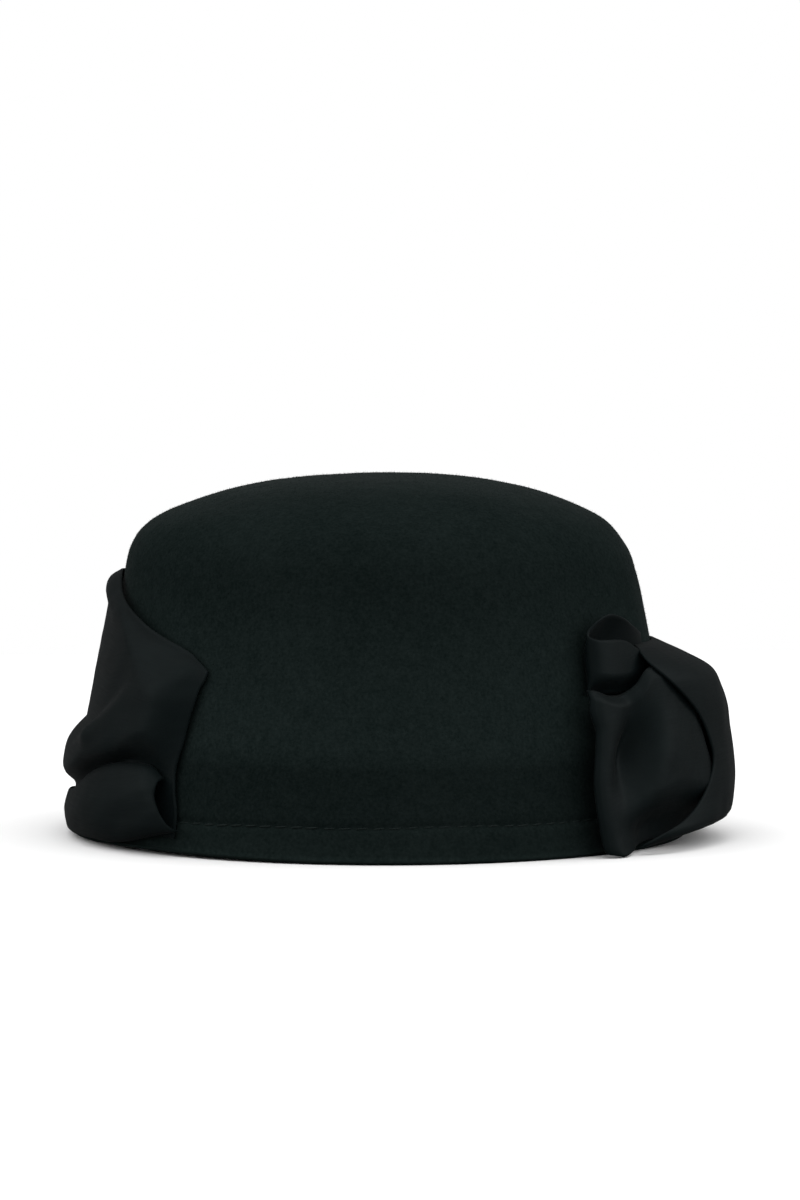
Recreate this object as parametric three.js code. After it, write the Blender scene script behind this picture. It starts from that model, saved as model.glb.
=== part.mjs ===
// A brimless wool felt cap with a satin scarf laid round it and tied in a bow.
// Millimetres, +Z up. The cap stands on its rim at z = 0 and faces -Y; +X is the wearer's left.
// Places on the cap are given as on a map of its wall: an angle round the crown from the front,
// positive towards +X, a height above the rim, and how far the cloth stands off the felt.
import * as THREE from "three";

// Driving dimensions
const FELT = 2.5; // thickness of the blocked felt
const SATIN = 1.2; // thickness of the doubled satin
const CLEARANCE = 0.6; // gap kept between one layer and the next
const ON_SCARF = CLEARANCE + SATIN + CLEARANCE; // stand-off of what lies on the scarf
const DEPTH_RATIO = 102 / 90; // a head is longer than it is wide
const CROWN_SEGMENTS = 60; // facets round the felt
const CROWN_STEPS = 16; // facets up the felt, from rim to top

// Facets across and up each piece of satin
const BAND_FACETS = { across: 36, up: 12 };
const ROLL_FACETS = { across: 18, up: 10 };
const LOOP_FACETS = { across: 18, up: 14 };
const TAIL_FACETS = { across: 16, up: 14 };
const KNOT_FACETS = { across: 18, up: 5 };

// The felt's outer face, from rim to top.
const CROWN_PROFILE = [
  { height: 0, halfWidth: 90 },
  { height: 25, halfWidth: 85 },
  { height: 50, halfWidth: 80.2 },
  { height: 65, halfWidth: 77.2 },
  { height: 76, halfWidth: 74.7 },
  { height: 84, halfWidth: 71.8 },
  { height: 91, halfWidth: 66 },
  { height: 96.3, halfWidth: 56 },
  { height: 100.8, halfWidth: 42 },
  { height: 103.8, halfWidth: 24 },
  { height: 104.8, halfWidth: 0 },
];

// The scarf, from its free front edge round the hidden side to the bow. Each row is one upright
// line of the cloth: where it stands at its upper and lower edge, the height up to which it is
// tucked flat against the felt, how far it stands off above that, and its swelling fold: how much
// that adds, how high up it is and its half-height.
const SCARF_BAND = [
  { angle: -41.5, foot: -45, top: 50, bottom: 9, tuck: 12, off: 1.2, swell: 0.4, swellAt: 38, reach: 12 },
  { angle: -47, foot: -50, top: 56, bottom: 6, tuck: 25, off: 1.8, swell: 2.2, swellAt: 44, reach: 13 },
  { angle: -57, foot: -58, top: 61, bottom: 5, tuck: 28, off: 1.6, swell: 3.2, swellAt: 40, reach: 12 },
  { angle: -70, foot: -70, top: 68, bottom: 5, tuck: 25, off: 1.3, swell: 4.0, swellAt: 31, reach: 9 },
  { angle: -86, foot: -86, top: 76, bottom: 4, tuck: 16, off: 1.4, swell: 4.6, swellAt: 24, reach: 7 },
  { angle: -105, foot: -105, top: 75, bottom: 4, tuck: 14, off: 1.4, swell: 4.5, swellAt: 25, reach: 9 },
  { angle: -130, foot: -130, top: 70, bottom: 4, tuck: 8, off: 1.5, swell: 4.0, swellAt: 28, reach: 12 },
  { angle: -155, foot: -155, top: 65, bottom: 4, tuck: 5, off: 1.5, swell: 4.0, swellAt: 30, reach: 13 },
  { angle: -180, foot: -180, top: 61, bottom: 4, tuck: 5, off: 1.5, swell: 4.0, swellAt: 30, reach: 13 },
  { angle: -203, foot: -203, top: 58, bottom: 4, tuck: 5, off: 1.5, swell: 3.0, swellAt: 30, reach: 13 },
  { angle: -222, foot: -222, top: 55, bottom: 5, tuck: 6, off: 0.9, swell: 0.6, swellAt: 28, reach: 12 },
  { angle: -238, foot: -238, top: 51, bottom: 7, tuck: 8, off: 0.5, swell: 0, swellAt: 28, reach: 12 },
  { angle: -252, foot: -252, top: 47, bottom: 9, tuck: 9, off: 0.5, swell: 0, swellAt: 28, reach: 12 },
];
const TUCK_RISE = 7; // height in which the cloth leaves the felt again
const EDGE_FALL = 5; // height in which it comes back to the felt below its upper edge

// The puffed lower fold, from its rounded front end to where it flattens on the hidden side.
const SCARF_ROLL = [
  { angle: -46.5, top: 19.5, bottom: 6, puff: 1.2 },
  { angle: -49, top: 22, bottom: 3.6, puff: 3.4 },
  { angle: -54, top: 23.8, bottom: 2.8, puff: 4.6 },
  { angle: -62, top: 24.2, bottom: 2.4, puff: 4.4 },
  { angle: -70, top: 21.2, bottom: 2.4, puff: 3.4 },
  { angle: -80, top: 15.6, bottom: 2.4, puff: 1.9 },
  { angle: -92, top: 12.4, bottom: 2.4, puff: 0.9 },
  { angle: -104, top: 11.6, bottom: 2.6, puff: 0.8 },
];

// The bow's outer loop, from its foot on the rim to its top: where its open mouth is, how far the
// mouth and the belly stand off, and where its back edge meets the scarf.
const BOW_LOOP = [
  { height: 3.2, mouthAngle: 50, mouthOff: 11, belly: -3.5, backAngle: 86 },
  { height: 6.2, mouthAngle: 59, mouthOff: 13, belly: 1, backAngle: 104 },
  { height: 11.0, mouthAngle: 62, mouthOff: 11.5, belly: 7, backAngle: 115 },
  { height: 20.0, mouthAngle: 71, mouthOff: 12.5, belly: 8.8, backAngle: 119 },
  { height: 29.0, mouthAngle: 67, mouthOff: 14.5, belly: 8.2, backAngle: 120 },
  { height: 38.0, mouthAngle: 59, mouthOff: 16, belly: 6.8, backAngle: 119 },
  { height: 46.0, mouthAngle: 54, mouthOff: 16, belly: 5.8, backAngle: 114 },
  { height: 52.0, mouthAngle: 51.5, mouthOff: 13, belly: 3.2, backAngle: 105 },
  { height: 55.5, mouthAngle: 53, mouthOff: 6.5, belly: -1.5, backAngle: 94 },
];

// The bow's gathered front panel, from its left edge to where it goes into the loop: its upper
// fold, its lower edge, which comes down to a tip on the rim, and how far it stands off.
const BOW_TAIL = [
  { angle: 36.5, top: 43.5, bottom: 5, off: 6.5 },
  { angle: 39, top: 44, bottom: 1, off: 7.6 },
  { angle: 43, top: 44, bottom: 1.6, off: 8 },
  { angle: 47.5, top: 48, bottom: 2.2, off: 9 },
  { angle: 52, top: 49.5, bottom: 2.8, off: 10 },
  { angle: 58, top: 43, bottom: 5.6, off: 11.3 },
  { angle: 66, top: 35, bottom: 9, off: 10.8 },
  { angle: 73, top: 28, bottom: 13, off: 9.5 },
  { angle: 78, top: 23, bottom: 17, off: 8.5 },
];
// The hills and hollows of that panel: each is centred on the map, with its half-size along the
// angle and the height, and how far it lifts the cloth.
const TAIL_FOLDS = [
  { angle: 55, height: 31, wide: 7, tall: 11, lift: 3.2 },
  { angle: 43.5, height: 28, wide: 3, tall: 9, lift: -3.5 },
  { angle: 53, height: 11, wide: 12, tall: 8, lift: -3.5 },
  { angle: 39, height: 2, wide: 5, tall: 4, lift: 3.5 },
];

// The upper pleat of the bow: the cloth lies against the felt, turns round at its left and comes
// back in front, so each row is one upright line of the cloth.
const BOW_KNOT = [
  { angle: 58, foot: 56, top: 58, bottom: 48, off: 0.6 },
  { angle: 53, foot: 52, top: 64, bottom: 47, off: 0.6 },
  { angle: 49, foot: 46, top: 67, bottom: 46, off: 0.6 },
  { angle: 45, foot: 42.5, top: 65.5, bottom: 44, off: 0.8 },
  { angle: 43, foot: 40, top: 62, bottom: 43, off: 2.4 },
  { angle: 44, foot: 41.5, top: 60.5, bottom: 43, off: 4.6 },
  { angle: 46.5, foot: 44, top: 60.5, bottom: 45, off: 5.8 },
  { angle: 50, foot: 47, top: 60, bottom: 48, off: 6.4 },
  { angle: 54, foot: 52, top: 58, bottom: 51, off: 5.4 },
];

const { clamp, degToRad, lerp, smoothstep } = THREE.MathUtils;

const crownCurve = new THREE.SplineCurve(
  CROWN_PROFILE.map((row) => new THREE.Vector2(row.halfWidth, row.height)),
);

// The felt's half-width at a height on its wall.
function crownHalfWidth(height) {
  const above = CROWN_PROFILE.findIndex((row) => row.height > height);
  const upper = CROWN_PROFILE[above];
  const lower = CROWN_PROFILE[above - 1];
  const share = (height - lower.height) / (upper.height - lower.height);
  return lerp(lower.halfWidth, upper.halfWidth, share);
}

// The point in space of a place on the map of the wall.
function onWall(angle, height, off) {
  const turn = degToRad(angle);
  const halfWidth = crownHalfWidth(height);
  const halfDepth = halfWidth * DEPTH_RATIO;
  const outward = new THREE.Vector3(Math.sin(turn) / halfWidth, -Math.cos(turn) / halfDepth, 0);
  const point = new THREE.Vector3(halfWidth * Math.sin(turn), -halfDepth * Math.cos(turn), height);
  return point.addScaledVector(outward.normalize(), off);
}

// Every column of a table at a share of the way along its rows, on a smooth curve through them.
function along(rows, share) {
  const last = rows.length - 1;
  const start = Math.min(Math.floor(share * last), last - 1);
  const t = share * last - start;
  const [before, from, to, after] = [-1, 0, 1, 2].map((step) => rows[clamp(start + step, 0, last)]);
  const value = {};
  for (const key of Object.keys(from)) {
    const bend = 2 * before[key] - 5 * from[key] + 4 * to[key] - after[key];
    const twist = -before[key] + 3 * from[key] - 3 * to[key] + after[key];
    value[key] = from[key] + 0.5 * t * (to[key] - before[key] + t * (bend + t * twist));
  }
  return value;
}

// A grid of points: pointAt(across, up) for shares of the way across and up the cloth.
function clothGrid(facets, pointAt) {
  const grid = [];
  for (let i = 0; i <= facets.across; i++) {
    const line = [];
    for (let j = 0; j <= facets.up; j++) line.push(pointAt(i / facets.across, j / facets.up));
    grid.push(line);
  }
  return grid;
}

// One closed wall from the points of a cloth's inner face: the outer face lies one thickness
// further along the cloth's own normal, and the four edges join the two.
function clothWall(grid, thickness) {
  const across = grid.length - 1;
  const up = grid[0].length - 1;
  const positions = [];
  const outer = [];
  for (let i = 0; i <= across; i++) {
    for (let j = 0; j <= up; j++) {
      const point = grid[i][j];
      const sideways = grid[Math.min(i + 1, across)][j].clone().sub(grid[Math.max(i - 1, 0)][j]);
      const upwards = grid[i][Math.min(j + 1, up)].clone().sub(grid[i][Math.max(j - 1, 0)]);
      const normal = sideways.cross(upwards).normalize();
      positions.push(...point.toArray());
      outer.push(...point.clone().addScaledVector(normal, thickness).toArray());
    }
  }
  positions.push(...outer);
  const inside = (i, j) => i * (up + 1) + j;
  const outside = (i, j) => inside(i, j) + (across + 1) * (up + 1);
  const indices = [];
  const quad = (a, b, c, d) => indices.push(a, b, c, a, c, d);
  for (let i = 0; i < across; i++) {
    for (let j = 0; j < up; j++) {
      quad(outside(i, j), outside(i + 1, j), outside(i + 1, j + 1), outside(i, j + 1));
      quad(inside(i, j), inside(i, j + 1), inside(i + 1, j + 1), inside(i + 1, j));
    }
    quad(inside(i, 0), inside(i + 1, 0), outside(i + 1, 0), outside(i, 0));
    quad(outside(i, up), outside(i + 1, up), inside(i + 1, up), inside(i, up));
  }
  for (let j = 0; j < up; j++) {
    quad(inside(0, j + 1), inside(0, j), outside(0, j), outside(0, j + 1));
    quad(inside(across, j), inside(across, j + 1), outside(across, j + 1), outside(across, j));
  }
  const geometry = new THREE.BufferGeometry();
  geometry.setAttribute("position", new THREE.Float32BufferAttribute(positions, 3));
  geometry.setIndex(indices);
  geometry.computeVertexNormals();
  return geometry;
}

// The felt: its inner face down to the rim, across the cut edge and up its outer face, turned
// round the axis and stretched to the head's oval.
function crownGeometry() {
  const inside = [];
  const outside = [];
  for (let i = 0; i <= CROWN_STEPS; i++) {
    const place = i / CROWN_STEPS;
    const point = crownCurve.getPoint(place);
    const slope = crownCurve.getTangent(place);
    outside.push(point);
    inside.unshift(new THREE.Vector2(point.x - slope.y * FELT, point.y + slope.x * FELT));
  }
  inside[0].x = 0;
  inside.at(-1).set(outside[0].x - FELT, 0);
  const geometry = new THREE.LatheGeometry([...inside, ...outside], CROWN_SEGMENTS);
  geometry.rotateX(Math.PI / 2);
  geometry.scale(1, DEPTH_RATIO, 1);
  return geometry;
}

// The scarf runs backwards along its table, so that its grid goes round with the angle.
function scarfBandGeometry() {
  const rows = [...SCARF_BAND].reverse();
  const grid = clothGrid(BAND_FACETS, (across, up) => {
    const row = along(rows, across);
    const height = lerp(row.bottom, row.top, up);
    const swell = row.swell * Math.exp(-(((height - row.swellAt) / row.reach) ** 2));
    const risen = smoothstep(height, row.tuck, row.tuck + TUCK_RISE);
    const lifted = risen * (1 - smoothstep(height, row.top - EDGE_FALL, row.top));
    const off = CLEARANCE + lifted * (row.off - CLEARANCE + swell);
    return onWall(lerp(row.foot, row.angle, up), height, off);
  });
  return clothWall(grid, SATIN);
}

// The roll's section is an arch from its upper edge, out and down to its lower edge, standing on
// the scarf behind it.
function scarfRollGeometry() {
  const rows = [...SCARF_ROLL].reverse();
  const grid = clothGrid(ROLL_FACETS, (across, up) => {
    const row = along(rows, across);
    const turn = Math.PI * (up - 0.5);
    const height = lerp(row.bottom, row.top, 0.5 + 0.5 * Math.sin(turn));
    return onWall(row.angle, height, ON_SCARF + row.puff * Math.cos(turn));
  });
  return clothWall(grid, SATIN);
}

// The loop goes from its open mouth out over its belly and back to the scarf.
function bowLoopGeometry() {
  const grid = clothGrid(LOOP_FACETS, (across, up) => {
    const row = along(BOW_LOOP, up);
    const angle = lerp(row.mouthAngle, row.backAngle, across);
    const edges = lerp(row.mouthOff, ON_SCARF, smoothstep(across, 0, 1));
    return onWall(angle, row.height, edges + row.belly * Math.sin(Math.PI * across));
  });
  return clothWall(grid, SATIN);
}

function bowTailGeometry() {
  const grid = clothGrid(TAIL_FACETS, (across, up) => {
    const row = along(BOW_TAIL, across);
    const height = lerp(row.bottom, row.top, up);
    let off = row.off;
    for (const fold of TAIL_FOLDS) {
      const aside = (row.angle - fold.angle) / fold.wide;
      const above = (height - fold.height) / fold.tall;
      off += fold.lift * Math.exp(-aside * aside - above * above);
    }
    return onWall(row.angle, height, off);
  });
  return clothWall(grid, SATIN);
}

// The pleat's inner face is the one towards the felt at first and towards the fold afterwards.
function bowKnotGeometry() {
  const grid = clothGrid(KNOT_FACETS, (across, up) => {
    const row = along(BOW_KNOT, 1 - across);
    return onWall(lerp(row.foot, row.angle, up), lerp(row.bottom, row.top, up), row.off);
  });
  return clothWall(grid, SATIN);
}

const felt = new THREE.MeshStandardMaterial({ color: 0x101716, roughness: 0.95, metalness: 0 });
const satin = new THREE.MeshStandardMaterial({ color: 0x17171a, roughness: 0.5, metalness: 0 });

const cap = new THREE.Group();
function addPiece(name, geometry, material) {
  const piece = new THREE.Mesh(geometry, material);
  piece.name = name;
  cap.add(piece);
}
addPiece("crown", crownGeometry(), felt);
addPiece("scarf_band", scarfBandGeometry(), satin);
addPiece("scarf_roll", scarfRollGeometry(), satin);
addPiece("bow_loop", bowLoopGeometry(), satin);
addPiece("bow_tail", bowTailGeometry(), satin);
addPiece("bow_knot", bowKnotGeometry(), satin);

// The origin is on the floor under the middle of the whole cap, bow and scarf included.
const middle = new THREE.Box3().setFromObject(cap).getCenter(new THREE.Vector3());
cap.position.set(-middle.x, -middle.y, 0);

export default cap;
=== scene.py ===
# %% [markdown]
# # A brimless felt cap with a satin scarf and a bow
#
# The cap is one blocked piece of black wool felt. A black satin scarf is folded round it and
# tied in a bow at the wearer's left. This script builds the fine surfaces over the imported model
# of the same cap, gives them their finishes, and stands the cap on a pale floor in soft light.
#
# The imported model is loaded first, because the crown's axis, from which every place below is
# measured, is taken from it.

# %% Load the frame
import math

import bpy
import numpy as np
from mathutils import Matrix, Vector, noise


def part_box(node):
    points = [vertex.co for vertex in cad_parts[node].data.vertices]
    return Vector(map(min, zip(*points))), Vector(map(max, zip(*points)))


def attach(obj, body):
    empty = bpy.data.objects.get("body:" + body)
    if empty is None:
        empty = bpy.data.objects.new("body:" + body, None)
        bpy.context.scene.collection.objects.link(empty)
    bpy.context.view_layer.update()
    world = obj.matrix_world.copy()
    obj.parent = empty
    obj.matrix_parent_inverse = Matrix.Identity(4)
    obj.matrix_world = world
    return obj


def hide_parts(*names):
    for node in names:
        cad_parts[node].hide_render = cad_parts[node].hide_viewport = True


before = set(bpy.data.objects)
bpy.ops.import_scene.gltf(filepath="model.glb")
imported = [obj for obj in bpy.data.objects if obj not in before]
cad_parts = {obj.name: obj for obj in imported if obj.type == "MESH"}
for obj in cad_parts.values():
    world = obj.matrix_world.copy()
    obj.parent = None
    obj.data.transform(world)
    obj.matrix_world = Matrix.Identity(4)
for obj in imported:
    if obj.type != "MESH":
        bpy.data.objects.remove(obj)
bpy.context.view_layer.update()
print("nodes", sorted(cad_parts))

# %% [markdown]
# ## Places on the cap
#
# Everything on a hat is sewn or folded against the wall of its crown, so places are given as on
# a map of that wall: an angle round the crown from the front, positive towards the bow, a height
# above the rim, and how far the cloth stands off the felt. Lengths on the map are millimetres.
# The folds are in short tables, one row for each line of the cloth, and a smooth curve runs
# through the rows.

# %% Tables and the curve through their rows
MM = 0.001
FINE = np.linspace(0, 1, 801)  # close steps along a table, to look places up by


def table(columns, *rows):
    """Rows of numbers under named columns, as a list of dicts."""
    return [dict(zip(columns.split(), row)) for row in rows]


def along(rows, share):
    """Every column at shares of the way along the rows, on a smooth curve through them."""
    last = len(rows) - 1
    place = np.clip(np.asarray(share, float), 0, 1) * last
    start = np.clip(np.floor(place).astype(int), 0, last - 1)
    t = place - start
    picks = [np.clip(start + step, 0, last) for step in (-1, 0, 1, 2)]
    found = {}
    for key in rows[0]:
        a, b, c, d = (np.array([row[key] for row in rows], float)[pick] for pick in picks)
        bend = 2 * a - 5 * b + 4 * c - d
        twist = 3 * (b - c) + d - a
        found[key] = b + 0.5 * t * (c - a + t * (bend + t * twist))
    return found


def at(rows, place, key, value):
    """A column's value where another column, which rises from row to row, has that place."""
    fine = along(rows, FINE)
    return np.interp(place, fine[key], fine[value])


def smoothstep(value, low, high):
    """0 below low, 1 above high, and a smooth step between."""
    t = np.clip((value - low) / (high - low), 0, 1)
    return t * t * (3 - 2 * t)


def lerp(start, end, share):
    """A value at a share of the way from start to end."""
    return start + (end - start) * share


# %% The felt's outline and the map of its wall
FELT = 2.5  # thickness of the blocked felt
DEPTH_RATIO = 102 / 90  # a head is longer than it is wide

CROWN_PROFILE = table(
    "height half_width",
    (0, 90), (25, 85), (50, 80.2), (65, 77.2), (76, 74.8), (84, 72.2),
    (91, 66.5), (96.3, 56), (100.8, 42), (103.8, 24), (104.8, 0),
)
crown_low, crown_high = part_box("crown")
AXIS = (crown_low + crown_high) / 2 / MM  # the crown's upright axis in the row frame


def on_wall(angle, height, off):
    """Points in space, in millimetres from the crown's axis, of places on the map."""
    turn = np.radians(angle)
    wide = at(CROWN_PROFILE, height, "height", "half_width")
    deep = wide * DEPTH_RATIO
    out_x = np.sin(turn) / wide
    out_y = -np.cos(turn) / deep
    reach = off / np.hypot(out_x, out_y)
    x = wide * np.sin(turn) + reach * out_x
    y = -deep * np.cos(turn) + reach * out_y
    return np.stack(np.broadcast_arrays(x, y, height), -1)


def even_angles(height):
    """The share of the way round the cap at each whole degree, measured on the wall."""
    ring = on_wall(np.arange(361.0), height, 0)
    steps = np.linalg.norm(np.diff(ring, axis=0), axis=1)
    walked = np.concatenate([[0], np.cumsum(steps)])
    return walked / walked[-1], walked[-1]


print("crown axis", [round(v, 2) for v in AXIS[:2]], "top", round(crown_high.z / MM, 1))

# %% [markdown]
# ## Meshes from arrays
#
# Folded cloth could be pushed about with modifiers, but here each surface is a formula on the
# map, so its points are worked out at once with arrays and handed to Blender as a mesh. Cloth
# also gets a UV map in real metres of cloth, so that its weave later follows the folds.

# %% Making a piece


def lumps(points, size, start=0.0):
    """Smooth bumps between -1 and 1 at points; size is how long they are along each axis."""
    scaled = np.reshape(points, (-1, 3)) / size + start
    values = [noise.noise(Vector(point)) for point in scaled.tolist()]
    return np.array(values).reshape(np.shape(points)[:-1])


def piece(name, points, faces, uv=None):
    """A smooth mesh that rides on the cap; points are in millimetres from the crown's axis."""
    mesh = bpy.data.meshes.new(name)
    placed = (np.reshape(points, (-1, 3)) + [AXIS.x, AXIS.y, 0]) * MM
    mesh.from_pydata(placed.tolist(), [], [list(face) for face in faces])
    if uv is not None:
        corners = np.empty(len(mesh.loops), np.int32)
        mesh.loops.foreach_get("vertex_index", corners)
        layer = mesh.uv_layers.new(name="cloth")
        layer.data.foreach_set("uv", (np.reshape(uv, (-1, 2)) * MM)[corners].astype(np.float32).ravel())
    mesh.shade_smooth()
    made = bpy.data.objects.new(name, mesh)
    bpy.context.scene.collection.objects.link(made)
    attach(made, "root")
    print(name, len(mesh.vertices), "vertices,", len(mesh.polygons), "faces")
    return made


def grid_faces(numbers):
    """The faces between the points of a grid of vertex numbers."""
    corners = [numbers[:-1, :-1], numbers[1:, :-1], numbers[1:, 1:], numbers[:-1, 1:]]
    return np.stack(corners, -1).reshape(-1, 4)


# %% [markdown]
# ## The felt crown
#
# A felt crown starts as a cone of matted wool that is steamed, pulled over a wooden block and
# left to dry, so it has no seam: the wall runs into the top in one curve. It could be a lathed
# profile with a modifier for thickness, but the cut edge and the line of stitching want more
# points than the dome does. So the section is drawn once, down the inside, round the cut edge
# and up the outside, with its points closest where the stitching is, and swept round the oval.
# Real felt is never quite even, so slow waves of a few tenths of a millimetre are added, the
# rim lifts a little where it has been handled, and the stitching pulls the felt in.

# %% The section of the felt
EDGE_ROUND = 1.1  # radius to which the cut edge is worn
STITCH_HEIGHT = 10.0  # the machine stitching above the rim
WALL_TOP = 74.0  # where the wall starts to turn into the top
STEP = 1e-3  # a short way along the profile, to see which way the felt faces
OUTER_DOME, INNER_DOME = 56, 24  # rings over the dome, outside and inside
INNER_WALL = 20  # rings up the wall inside
EDGE_RINGS = 5  # rings round each corner of the cut edge


def section_side(heights, dome_points, thickness):
    """Points up one side of the felt and which way they face, from above the edge to the top."""
    wall = np.interp(heights, along(CROWN_PROFILE, FINE)["height"], FINE)
    share = np.concatenate([wall, np.linspace(wall[-1], 1, dome_points)[1:]])
    line = along(CROWN_PROFILE, share)
    ahead = along(CROWN_PROFILE, share + STEP)
    behind = along(CROWN_PROFILE, share - STEP)
    rise = ahead["height"] - behind["height"]
    run = ahead["half_width"] - behind["half_width"]
    facing = np.stack([rise, -run], -1) / np.hypot(rise, run)[:, None]
    facing[-1] = (0, 1)
    points = np.stack([line["half_width"], line["height"]], -1)
    return points - thickness * facing, facing


def felt_section():
    """The line across the felt, which way each point faces, and 1 outside to 0 inside."""
    fine_wall = [np.linspace(1, 8, 6), np.linspace(8.4, 12, 10), np.linspace(13.5, WALL_TOP, 31)]
    outside, out_facing = section_side(np.concatenate(fine_wall), OUTER_DOME, 0)
    inside, in_facing = section_side(np.linspace(1, WALL_TOP, INNER_WALL), INNER_DOME, FELT)
    turn = np.linspace(0, math.pi / 2, EDGE_RINGS)
    corner = EDGE_ROUND * np.stack([1 - np.cos(turn), 1 - np.sin(turn)], -1)
    rim = CROWN_PROFILE[0]["half_width"]
    in_corner = [rim - FELT, 0] + corner
    out_corner = [rim, 0] + corner[::-1] * [-1, 1]
    edge_facing = np.zeros((2 * len(turn), 2))
    points = np.concatenate([inside[::-1], in_corner, out_corner, outside])
    facing = np.concatenate([in_facing[::-1], edge_facing, out_facing])
    side = np.concatenate([np.zeros(len(inside) + len(turn)), np.ones(len(turn) + len(outside))])
    return points, facing, side


section, section_facing, section_outside = felt_section()
print("felt section", len(section), "points")

# %% The crown's mesh
AROUND = 540  # lines round the cap
STITCH_PITCH = 4.7  # from one needle hole to the next
walked, rim_length = even_angles(STITCH_HEIGHT)
STITCHES = round(rim_length / STITCH_PITCH)
GROOVE, GROOVE_WIDE = 0.22, 0.9  # depth and half-width of the groove that the stitching pulls
HOLE = 0.3  # how much deeper the groove is at a needle hole
SWELL, SWELL_AT, SWELL_WIDE = 0.14, 2.4, 1.3  # the felt that is pushed up on both sides of it
# Slow waves in the felt: how high they are, how long, and where in their pattern they start.
WAVES = ((0.35, 34, 0), (0.12, 11, 5), (0.05, 4, 9))
# How far the felt leans towards the bow, up the cap: a blocked crown is never quite even.
LEAN = table(
    "height aside",
    (0, 0), (50, 0.5), (70, 0.6), (80, 0.2), (88, -0.4), (97, 0.3), (103, 1.2), (105, 1.3),
)


def stitch_count(angle):
    """How many stitches there are from the front to an angle."""
    return STITCHES * np.interp(np.mod(angle, 360), np.arange(361.0), walked)


def stitch_line(angle):
    """The height of the stitching: a machine's line wanders a little."""
    turn = np.radians(angle)
    return STITCH_HEIGHT + 0.25 * np.sin(3 * turn + 1) + 0.15 * np.sin(11 * turn)


def rim_lift(angle):
    """How far the cut edge is off the floor round the cap."""
    left = np.exp(-(((angle + 52) / 28) ** 2))
    behind = np.exp(-(((np.mod(angle, 360) - 195) / 30) ** 2))
    return left + 0.5 * behind


def pulled_in(angle, height):
    """How far the stitching pulls the felt in, most at each needle hole."""
    above = height - stitch_line(angle)
    hole = 0.5 + 0.5 * np.cos(2 * math.pi * stitch_count(angle))
    groove = (GROOVE + HOLE * hole**2) * np.exp(-((above / GROOVE_WIDE) ** 2))
    swell = SWELL * np.exp(-(((np.abs(above) - SWELL_AT) / SWELL_WIDE) ** 2))
    return groove - swell


def crown_points():
    """The felt's points, a line up the whole section for each angle round the cap."""
    angle = np.linspace(-180, 180, AROUND, endpoint=False)[:, None]
    turn = np.radians(angle)
    radius, height = section[None, :, 0], section[None, :, 1]
    plain = np.stack(
        np.broadcast_arrays(radius * np.sin(turn), -radius * DEPTH_RATIO * np.cos(turn), height), -1
    )
    waves = sum(tall * lumps(plain, long, start) for tall, long, start in WAVES)
    push = waves - section_outside * pulled_in(angle, height)
    facing = np.stack(
        np.broadcast_arrays(
            section_facing[None, :, 0] * np.sin(turn),
            -section_facing[None, :, 0] * np.cos(turn),
            section_facing[None, :, 1],
        ),
        -1,
    )
    points = plain + push[..., None] * facing
    points[..., 0] += at(LEAN, height, "height", "aside")
    points[..., 2] += rim_lift(angle) * (1 - smoothstep(height, 0, 16))
    return points


def crown_mesh():
    """Points and faces of the closed felt, and the points of its outside as a grid."""
    points = crown_points()
    around, steps = points.shape[:2]
    numbers = np.arange(around * steps).reshape(around, steps)
    numbers = np.concatenate([numbers, numbers[:1]])
    faces = grid_faces(numbers[:, 1:-1]).tolist()
    # the two points on the axis are single vertices, the hubs of a fan each
    for hub, next_to in ((0, 1), (-1, -2)):
        fan = [[numbers[0, hub], numbers[i, next_to], numbers[i + 1, next_to]] for i in range(around)]
        faces += fan if hub else [face[::-1] for face in fan]
    kept = np.unique(np.array([n for face in faces for n in face]))
    renumber = np.zeros(around * steps, int)
    renumber[kept] = np.arange(len(kept))
    faces = [[int(renumber[n]) for n in face] for face in faces]
    return points.reshape(-1, 3)[kept], faces, points[:, section_outside > 0]


crown_vertices, crown_faces, felt_outside = crown_mesh()
crown = piece("felt_crown", crown_vertices, crown_faces)
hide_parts("crown")

# %% [markdown]
# ## The stitching
#
# A row of black machine stitches runs round the cap above its rim, where a ribbon or a second
# layer is caught on the inside. A curve with a bevel could follow the rim, but a lockstitch
# dives into the felt at every needle hole, so each stitch is its own short length of thread,
# thick in the middle and sunk at both ends. One function lays a row, and it is called for the
# outside and for the bobbin thread inside.

# %% One row of stitches
THREAD = 0.24  # radius of the thread
BARREL = 8  # sides of a thread
BEADS = 9  # rings along a stitch
SUNK, RISE = 0.5, 0.42  # the ends are sunk this deep, and the middle rises this much from there


def stitch_row(off, facing):
    """Points of closed stitches round the cap; facing is 1 outside and -1 inside."""
    share = np.linspace(0, 1, BEADS)
    stitch = np.arange(STITCHES)[:, None]
    slack = 0.05 * np.sin(stitch * 2.4)
    count = stitch + 0.1 + slack + (0.8 - slack) * share
    angle = np.interp(count / STITCHES, walked, np.arange(361.0))
    bow = np.sin(math.pi * share)
    slant = 0.28 * (share - 0.5) * facing
    height = stitch_line(angle) + slant + 0.05 * np.sin(stitch * 1.7)
    middle = on_wall(angle, height, off + facing * (RISE * np.sqrt(bow) - SUNK))
    out = on_wall(angle, height, off + 1) - on_wall(angle, height, off)
    thick = THREAD * (0.35 + 0.65 * np.sqrt(bow))
    turn = np.linspace(0, 2 * math.pi, BARREL, endpoint=False)
    up = np.array([0, 0, 1.0])
    barrel = np.cos(turn)[:, None] * out[..., None, :] + np.sin(turn)[:, None] * up
    return middle[..., None, :] + thick[..., None, None] * barrel


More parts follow.
